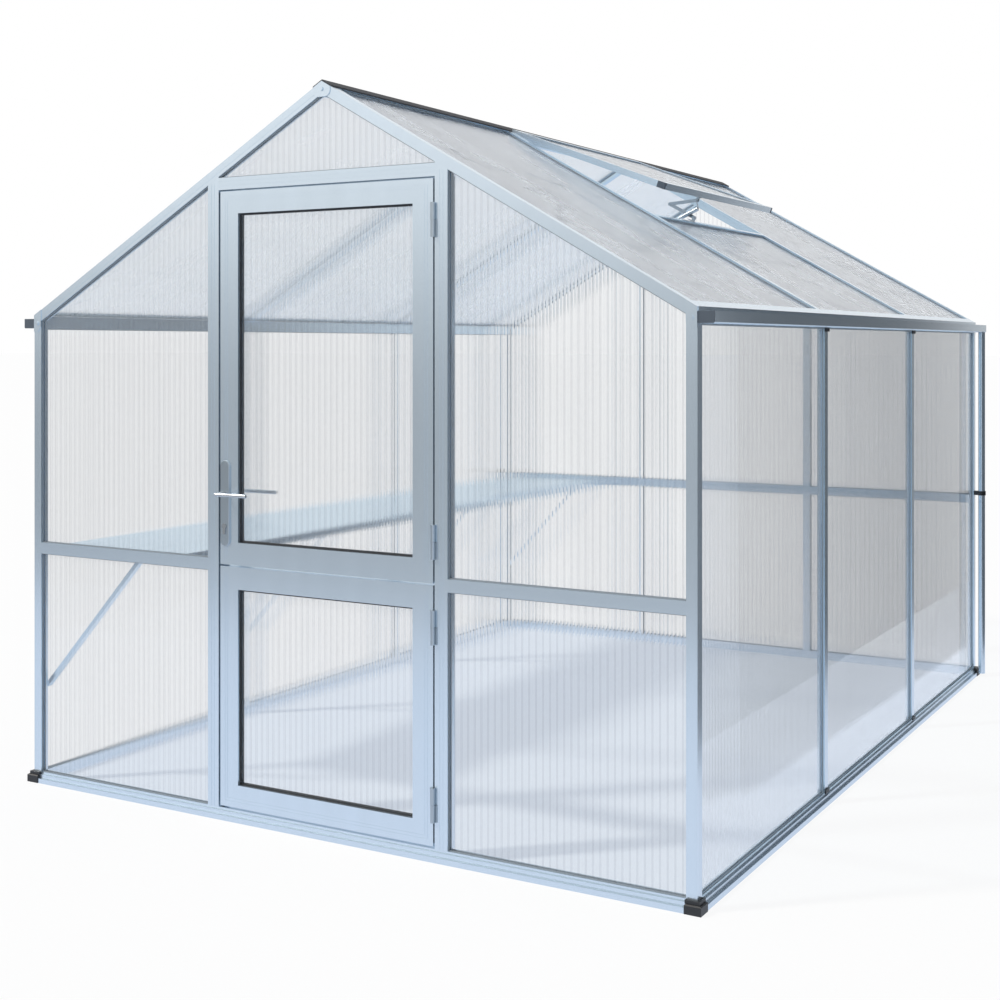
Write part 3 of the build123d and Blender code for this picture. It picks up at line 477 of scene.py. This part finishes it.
def plastic(name, base, roughness, grain_scale):
    """Moulded plastic or rubber with a fine matt grain, paler at its edges as a painted highlight."""
    material, tree, shader, _ = new_material(name)
    grain = noise(tree, place_on(tree), grain_scale, 4.0, 0.6)
    edges = rounded_edges(tree)
    toned = blend(tree, grain, colour(base), scaled(base, MOULDING_GAIN))
    # The paler edges are a painted highlight.
    edge_highlight = combine(tree, "MULTIPLY", edges["Edge"], PLASTIC_EDGE_HIGHLIGHT_SHARE)
    highlighted = blend(tree, edge_highlight, toned, scaled(base, PLASTIC_EDGE_HIGHLIGHT_GAIN))
    relief = {"Strength": MOULDING_STRENGTH, "Distance": MOULDING_HEIGHT, "Height": grain}
    surface = wire(tree, "Bump", {**relief, "Normal": edges["Normal"]})
    tree.links.new(highlighted, shader.inputs["Base Color"])
    tree.links.new(surface.outputs["Normal"], shader.inputs["Normal"])
    shader.inputs["Roughness"].default_value = roughness
    return material


def sheet_shader(name, passing_colour):
    """Sheet that bends what is behind it, and lets lamps, fill and mirror images pass with a tint."""
    material, tree, shader, end = new_material(name)
    shader.inputs["IOR"].default_value = settings().sheets.bending
    clear = wire(tree, "BsdfTransparent", {"Color": colour(passing_colour)})
    path = wire(tree, "LightPath")
    soft = combine(tree, "MAXIMUM", path.outputs["Is Shadow Ray"], path.outputs["Is Diffuse Ray"])
    passing = combine(tree, "MAXIMUM", soft, mirrored_only(tree, path))
    both = mix_shaders(tree, passing, shader.outputs["BSDF"], clear.outputs["BSDF"])
    tree.links.new(both, end.inputs["Surface"])
    return material, tree, shader


def finish_sheet(tree, shader, tone, rough, haze):
    """Give a sheet's shader its colour, its roughness, and the share of light that it scatters."""
    tree.links.new(tone, shader.inputs["Base Color"])
    tree.links.new(rough, shader.inputs["Roughness"])
    shader.inputs["Transmission Weight"].default_value = 1.0 - haze


def wall_sheet(name, across):
    """Clear twin-wall sheet with darker ribs."""
    values = settings().sheets
    material, tree, shader = sheet_shader(name, values.shade)
    given = {"Coordinates": place_on(tree), "Across": across, "Flute": values.flute}
    ribs = effect(tree, "sheet_ribs", flute_group, given)
    tone = blend(tree, ribs["Rib"], colour(values.tint), colour(values.rib_tint))
    rough = remap(tree, ribs["Wave"], *WAVE_RANGE, *WALL_ROUGHNESS)
    finish_sheet(tree, shader, tone, rough, values.haze)
    return material


def roof_sheet(name, turn, pale, dull, haze):
    """Hazy roof sheet with streaks of painted reflection down its slope and a few darker patches."""
    material, tree, shader = sheet_shader(name, settings().sheets.shade)
    given = {"Coordinates": place_on(tree), "Turn": (0.0, turn, 0.0), "Low": EAVE, "High": RIDGE}
    clouds = effect(tree, "roof_clouds", cloud_group, given)
    # The pale streaks are painted reflections over the slope's painted light or painted shade.
    streaked = blend(tree, clouds["Streak"], colour(dull), colour(pale))
    share = combine(tree, "MULTIPLY", clouds["Smudge"], PATCH_SHARE)
    tone = blend(tree, share, streaked, colour(dull))
    rough = remap(tree, clouds["Streak"], 0.0, 1.0, *ROOF_ROUGHNESS)
    finish_sheet(tree, shader, tone, rough, haze)
    return material


def dress(piece, material):
    """Give a piece or a CAD node one material."""
    piece.data.materials.clear()
    piece.data.materials.append(material)


def activate(piece):
    """Make one object the only selected and active one."""
    bpy.ops.object.select_all(action="DESELECT")
    piece.select_set(True)
    bpy.context.view_layer.objects.active = piece


def solid_copy(node, name):
    """Copy of a CAD node's mesh with its triangles joined."""
    copy = bpy.data.objects.new(name, NODES[node].data.copy())
    bpy.context.scene.collection.objects.link(copy)
    activate(copy)
    bpy.ops.object.mode_set(mode="EDIT")
    bpy.ops.mesh.select_all(action="SELECT")
    bpy.ops.mesh.remove_doubles(threshold=JOIN_DISTANCE)
    bpy.ops.mesh.dissolve_limited(angle_limit=FLAT_ANGLE)
    bpy.ops.object.mode_set(mode="OBJECT")
    return copy


def extent(mesh, direction):
    """Lowest and highest place of a mesh along a direction."""
    places = [vertex.co.dot(direction) for vertex in mesh.vertices]
    return min(places), max(places)


def select_parts(mesh, parts, mode, wanted):
    """Select the vertices or polygons that meet a condition, and go on in edit mode."""
    bpy.ops.object.mode_set(mode="EDIT")
    bpy.ops.mesh.select_mode(type=mode)
    bpy.ops.mesh.select_all(action="DESELECT")
    bpy.ops.object.mode_set(mode="OBJECT")
    for part in getattr(mesh, parts):
        part.select = wanted(part)
    bpy.ops.object.mode_set(mode="EDIT")


def flute_strip(name, height, thickness, groove_share):
    """One flute of a sheet, with a shallow groove over its rib on both faces, open at its two sides."""
    values = settings().sheets
    reach = values.groove_reach
    land = reach + values.groove_blend
    places = (-land, -reach, -reach / 2, 0, reach / 2, reach, land, values.flute - land)
    depths = (0, 0, 0.5, 1, 0.5, 0, 0, 0)
    spans = len(places) - 1
    bpy.ops.object.select_all(action="DESELECT")
    bpy.ops.mesh.primitive_grid_add(x_subdivisions=spans, y_subdivisions=1, size=1)
    strip = bpy.context.object
    strip.name = name
    strip.scale = (1, height, 1)
    strip.location = (0, 0, -thickness / 2)
    bpy.ops.object.transform_apply(location=True, rotation=True, scale=True)
    bpy.ops.object.mode_set(mode="EDIT")
    bpy.ops.mesh.select_all(action="SELECT")
    bpy.ops.mesh.extrude_region_move(TRANSFORM_OT_translate={"value": (0, 0, thickness)})
    select_parts(strip.data, "polygons", "FACE", lambda face: abs(face.normal.x) > FACING)
    bpy.ops.mesh.delete(type="ONLY_FACE")
    bpy.ops.object.mode_set(mode="OBJECT")
    columns = [round((vertex.co.x + 0.5) * spans) for vertex in strip.data.vertices]
    for column, (place, depth) in enumerate(zip(places, depths)):
        select_parts(strip.data, "vertices", "VERT", lambda vertex: columns[vertex.index] == column)
        bpy.ops.transform.translate(value=(place - column / spans + 0.5, 0, 0))
        shrink = 1 - 2 * depth * groove_share * values.groove_depth / thickness
        bpy.ops.transform.resize(value=(1, 1, shrink), center_override=(0, 0, 0))
    bpy.ops.object.mode_set(mode="OBJECT")
    return strip


def fluted_board(name, width, height, thickness, groove_share):
    """Row of flutes as one closed board, centred, with its ribs along Y and its faces along Z."""
    values = settings().sheets
    count = round(width / values.flute)
    board = flute_strip(name, height, thickness, groove_share)
    row = board.modifiers.new("row", "ARRAY")
    row.count = count
    row.use_relative_offset = False
    row.use_constant_offset = True
    row.constant_offset_displace = (values.flute, 0, 0)
    row.use_merge_vertices = True
    row.merge_threshold = JOIN_DISTANCE
    bpy.ops.object.modifier_apply(modifier="row")
    bpy.ops.object.mode_set(mode="EDIT")
    bpy.ops.mesh.select_all(action="SELECT")
    bpy.ops.mesh.fill_holes(sides=4)
    bpy.ops.mesh.normals_make_consistent(inside=False)
    bpy.ops.object.mode_set(mode="OBJECT")
    board.location.x = values.groove_reach + values.groove_blend - count * values.flute / 2
    bpy.ops.object.transform_apply(location=True, rotation=True, scale=True)
    return board


def fluted_sheet(name, node, across, along, groove_share):
    """Fluted sheets with the outlines of a node's panes."""
    values = settings().sheets
    normal = across.cross(along)
    panes = solid_copy(node, name + "_outline")
    sides = extent(panes.data, across)
    ends = extent(panes.data, along)
    faces = extent(panes.data, normal)
    thickness = faces[1] - faces[0] - values.skin_play
    margin = 2 * values.edge_play
    width, height = sides[1] - sides[0] + margin, ends[1] - ends[0] + margin
    board = fluted_board(name, width, height, thickness, groove_share)
    centre = across * (sum(sides) / 2) + along * (sum(ends) / 2) + normal * (sum(faces) / 2)
    turn = Matrix((across, along, normal)).transposed().to_4x4()
    board.matrix_world = Matrix.Translation(centre) @ turn
    activate(board)
    bpy.ops.object.transform_apply(location=True, rotation=True, scale=True)
    trim = board.modifiers.new("trim", "BOOLEAN")
    trim.operation = "INTERSECT"
    trim.solver = "MANIFOLD"
    trim.object = panes
    bpy.ops.object.modifier_apply(modifier="trim")
    bpy.ops.object.shade_smooth_by_angle(angle=SMOOTH_ANGLE)
    bpy.data.objects.remove(panes)
    return board


def seal_ring(name, node, normal, seal_width):
    """Rubber seals on one face of a node's panes, inside the bars that hold them."""
    values = settings().sheets
    ring = solid_copy(node, name)
    select_parts(ring.data, "polygons", "FACE", lambda face: face.normal.dot(normal) < FACING)
    bpy.ops.mesh.delete(type="FACE")
    for width, kept in ((values.seat, True), (seal_width, False)):
        bpy.ops.mesh.select_all(action="SELECT")
        bpy.ops.mesh.inset(thickness=width, use_even_offset=True, use_boundary=True)
        if kept:
            bpy.ops.mesh.select_all(action="INVERT")
        bpy.ops.mesh.delete(type="FACE")
    bpy.ops.mesh.select_all(action="SELECT")
    bpy.ops.mesh.extrude_region_move(TRANSFORM_OT_translate={"value": normal * values.seal_height})
    bpy.ops.mesh.select_all(action="SELECT")
    bpy.ops.mesh.normals_make_consistent(inside=False)
    bpy.ops.object.mode_set(mode="OBJECT")
    return ring


class GREENHOUSE_OT_studio(bpy.types.Operator):
    """Put up the camera, the floor and the light"""

    bl_idname = "greenhouse.studio"
    bl_label = "Studio"

    def execute(self, context):
        values = settings().studio
        data = bpy.data.cameras.new("camera")
        data.lens = values.lens
        data.sensor_width = SENSOR_WIDTH
        data.shift_y = values.shift
        camera = bpy.data.objects.new("camera", data)
        camera.location = values.camera_place
        camera.rotation_euler = (LEVEL, 0, values.camera_yaw)
        context.scene.collection.objects.link(camera)
        context.scene.camera = camera
        context.scene.view_settings.view_transform = "Standard"
        self.key_light(context, values)
        self.fill_light(context, values)
        self.floor(values)
        for name, (place, turn, size, fades) in CARDS.items():
            self.card(name, place, turn, size, getattr(values, name), fades)
        return {"FINISHED"}

    def key_light(self, context, values):
        """Warm key light from the front left."""
        data = bpy.data.lights.new("key_light", "SUN")
        data.energy = values.sun_strength
        data.color = values.sun_colour
        data.angle = KEY_ANGLE
        lamp = bpy.data.objects.new("key_light", data)
        lamp.rotation_euler = KEY_DIRECTION.to_track_quat("Z", "Y").to_euler()
        context.scene.collection.objects.link(lamp)

    def fill_light(self, context, values):
        """Cool fill from all round that shows white."""
        world = bpy.data.worlds.new("studio")
        tree = empty_tree(world)
        path = wire(tree, "LightPath").outputs
        seen = combine(tree, "MAXIMUM", path["Is Camera Ray"], path["Is Glossy Ray"])
        seen = combine(tree, "MAXIMUM", seen, path["Is Transmission Ray"])
        fill = wire(tree, "Background", {"Color": colour(values.sky_colour), "Strength": values.sky_strength})
        white = wire(tree, "Background", {"Color": WHITE, "Strength": 1.0})
        both = mix_shaders(tree, seen, fill.outputs["Background"], white.outputs["Background"])
        wire(tree, "OutputWorld", {"Surface": both})
        context.scene.world = world

    def card(self, name, place, turn, size, shade, fades):
        """Upright card that only mirror images show, a painted reflection that fades to white along the given
        axes.
        """
        bpy.ops.object.select_all(action="DESELECT")
        bpy.ops.mesh.primitive_plane_add(size=1, location=place, rotation=[radians(angle) for angle in turn])
        card = bpy.context.object
        card.name = name
        card.scale = (*size, 1)
        card.visible_camera = False
        card.visible_diffuse = False
        card.visible_transmission = False
        card.visible_shadow = False
        material = bpy.data.materials.new(name)
        tree = empty_tree(material)
        position = wire(tree, "NewGeometry").outputs["Position"]
        parts = wire(tree, "SeparateXYZ", {"Vector": position}).outputs
        share = 0.0
        for axis, start, end, most in fades:
            share = combine(tree, "MAXIMUM", remap(tree, parts[axis], start, end, 0.0, most), share)
        tone = blend(tree, share, colour(shade), WHITE)
        glow = wire(tree, "Emission", {"Color": tone, "Strength": 1.0})
        wire(tree, "OutputMaterial", {"Surface": glow.outputs["Emission"]})
        dress(card, material)

    def floor(self, values):
        """White floor that shows the background's white and keeps part of the shadow; mirror images show it
        with a painted pale blue reflection, and inside the walls it shows through the sheets with painted
        light of that tint.
        """
        bpy.ops.object.select_all(action="DESELECT")
        bpy.ops.mesh.primitive_grid_add(
            x_subdivisions=FLOOR_CELLS, y_subdivisions=FLOOR_CELLS, size=FLOOR_SIZE,
            location=(0, 0, FLOOR_HEIGHT),
        )
        floor = bpy.context.object
        floor.name = "floor"
        material = bpy.data.materials.new("floor_white")
        tree = empty_tree(material)
        path = wire(tree, "LightPath")
        mirrored = mirrored_only(tree, path)
        seen = combine(tree, "MULTIPLY_ADD", path.outputs["Is Camera Ray"], values.floor_glow, mirrored)
        # Inside the walls, rays through the sheets see the floor glow with painted light of the tinted
        # colour.
        inside = self.footprint(tree)
        glow = wire(
            tree, "Mix", {"Factor": inside, "A": values.floor_glow, "B": values.inner_painted_light_share}, data_type="FLOAT"
        ).outputs["Result"]
        through = combine(tree, "MULTIPLY_ADD", path.outputs["Is Transmission Ray"], glow, seen)
        lit = wire(tree, "BsdfDiffuse", {"Color": FLOOR_WHITE})
        # The tint is a painted reflection for mirror images and painted light inside the walls.
        painted_tint_share = combine(tree, "MAXIMUM", mirrored, inside)
        tone = blend(tree, painted_tint_share, WHITE, colour(values.painted_floor_tint))
        white = wire(tree, "Emission", {"Color": tone, "Strength": 1.0})
        both = mix_shaders(tree, through, lit.outputs["BSDF"], white.outputs["Emission"])
        wire(tree, "OutputMaterial", {"Surface": both})
        dress(floor, material)

    def footprint(self, tree):
        """Share of the floor that lies inside the walls: 1 within them, 0 outside."""
        middle = (0.0, (FRONT + BACK) / 2, 0.0)
        half = (HALF_WIDTH, (BACK - FRONT) / 2, 1.0)
        centred = vectors(tree, "SUBTRACT", place_on(tree), middle)["Vector"]
        shares = vectors(tree, "DIVIDE", centred, half)["Vector"]
        sizes = vectors(tree, "ABSOLUTE", shares)["Vector"]
        parts = wire(tree, "SeparateXYZ", {"Vector": sizes}).outputs
        return combine(tree, "LESS_THAN", combine(tree, "MAXIMUM", parts["X"], parts["Y"]), 1.0)


class GREENHOUSE_OT_metal_finish(bpy.types.Operator):
    """Give every bar and fitting its finish"""

    bl_idname = "greenhouse.metal_finish"
    bl_label = "Metal and plastic finishes"

    def execute(self, context):
        values = settings().metal
        upright = bar_metal("upright_aluminium", GRAIN_ALONG_Z)
        along_x = bar_metal("crosswise_aluminium", GRAIN_ALONG_X)
        along_y = bar_metal("lengthwise_aluminium", GRAIN_ALONG_Y)
        right_slope = bar_metal("right_slope_aluminium", GRAIN_ALONG_X, (0.0, PITCH, 0.0))
        left_slope = bar_metal("left_slope_aluminium", GRAIN_ALONG_X, (0.0, -PITCH, 0.0))
        steel = shaded_metal("brushed_steel_finish", values.fitting_colour, 1.0, 0.22)
        # The plates' darker colour is painted shade.
        plate = shaded_metal("satin_plate_finish", values.plate_colour, 0.9, 0.30)
        ridge = shaded_metal("dark_ridge_finish", values.ridge_colour, 0.0, 0.75, stretch=GRAIN_ALONG_Y)
        black = plastic("black_moulding", values.moulding_colour, 0.45, MOULDING_SCALE)
        slate = plastic("slate_moulding", values.cap_colour, 0.4, MOULDING_SCALE)
        finishes = {
            upright: "corner_posts door_posts back_mullions side_mullions downpipes shelf_struts "
                     "upper_leaf_frame lower_leaf_frame",
            along_x: "gable_sills front_mid_rails back_mid_rails door_header shelf_bearers "
                     "eave_plates apex_plates",
            along_y: "side_sills eave_beams gutters ridge_beam shelf_rails shelf_slats "
                     "vent_transom vent_frame",
            right_slope: "right_verge_bars right_roof_bars",
            left_slope: "left_verge_bars left_roof_bars",
            plate: "handle_plates post_hinge_halves upper_leaf_hinge_halves lower_leaf_hinge_halves",
            steel: "lock_cylinder lever_handles vent_opener_arms vent_opener_brackets "
                   "vent_opener_pin vent_opener_cylinder",
            ridge: "ridge_cap",
            black: "corner_blocks mullion_caps pipe_clips",
            slate: "gutter_end_caps vent_end_caps",
        }
        for material, names in finishes.items():
            for name in names.split():
                dress(NODES[name], material)
        return {"FINISHED"}


class GREENHOUSE_OT_sheets(bpy.types.Operator):
    """Model the fluted twin-wall sheets in place of the plain panes"""

    bl_idname = "greenhouse.sheets"
    bl_label = "Twin-wall sheets"

    def execute(self, context):
        values = settings().sheets
        # Painted light: the right roof sheets get painted shade and the left ones painted light, both with
        # painted reflections, though they are one sheet.
        right_roof_light_and_haze = (values.right_roof_painted_reflection, values.right_roof_painted_shade, values.roof_haze)
        left_roof_light_and_haze = (values.left_roof_painted_reflection, values.left_roof_painted_light, values.left_roof_haze)
        for name, (node, across, along, body, in_roof) in SHEETS.items():
            sheet = fluted_sheet(name, node, across, along, values.roof_groove_share if in_roof else 1.0)
            if in_roof:
                turn = atan2(along.z, -along.x)
                finish = left_roof_light_and_haze if along.x > 0 else right_roof_light_and_haze
                dress(sheet, roof_sheet(name + "_hazy", turn, *finish))
            else:
                dress(sheet, wall_sheet(name + "_clear", across))
            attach(sheet, body)
            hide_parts(node)
        return {"FINISHED"}


class GREENHOUSE_OT_seals(bpy.types.Operator):
    """Model the rubber seals round the sheets"""

    bl_idname = "greenhouse.seals"
    bl_label = "Rubber seals"

    def execute(self, context):
        values = settings()
        black = plastic("black_rubber", values.metal.moulding_colour, 0.6, RUBBER_SCALE)
        grey = plastic("grey_rubber", values.metal.rubber_colour, 0.6, RUBBER_SCALE)
        for name, (node, across, along, body, _) in SHEETS.items():
            on_leaf = body != "house"
            width = values.sheets.leaf_seal_width if on_leaf else values.sheets.seal_width
            outward = across.cross(along)
            outer = seal_ring(f"{name}_seals", node, outward, width)
            inner = seal_ring("inner", node, -outward, width)
            activate(outer)
            inner.select_set(True)
            bpy.ops.object.join()
            dress(outer, black if on_leaf else grey)
            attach(outer, body)
        return {"FINISHED"}


class GREENHOUSE_PT_panel(bpy.types.Panel):
    """Sidebar list of the greenhouse's steps"""

    bl_idname = "GREENHOUSE_PT_panel"
    bl_label = "Greenhouse"
    bl_space_type = "VIEW_3D"
    bl_region_type = "UI"
    bl_category = "Greenhouse"

    def draw(self, context):
        for step in STEPS:
            self.layout.operator(step.bl_idname)


STEPS = (GREENHOUSE_OT_studio, GREENHOUSE_OT_metal_finish, GREENHOUSE_OT_sheets, GREENHOUSE_OT_seals)
CLASSES = (SheetSettings, MetalSettings, StudioSettings, GreenhouseSettings, *STEPS, GREENHOUSE_PT_panel)


def register():
    for item in CLASSES:
        bpy.utils.register_class(item)
    bpy.types.Scene.greenhouse = bpy.props.PointerProperty(type=GreenhouseSettings)


def unregister():
    del bpy.types.Scene.greenhouse
    for item in reversed(CLASSES):
        bpy.utils.unregister_class(item)


def main():
    register()
    bpy.ops.greenhouse.studio()
    bpy.ops.greenhouse.metal_finish()
    bpy.ops.greenhouse.sheets()
    bpy.ops.greenhouse.seals()


if __name__ == "__main__":
    main()
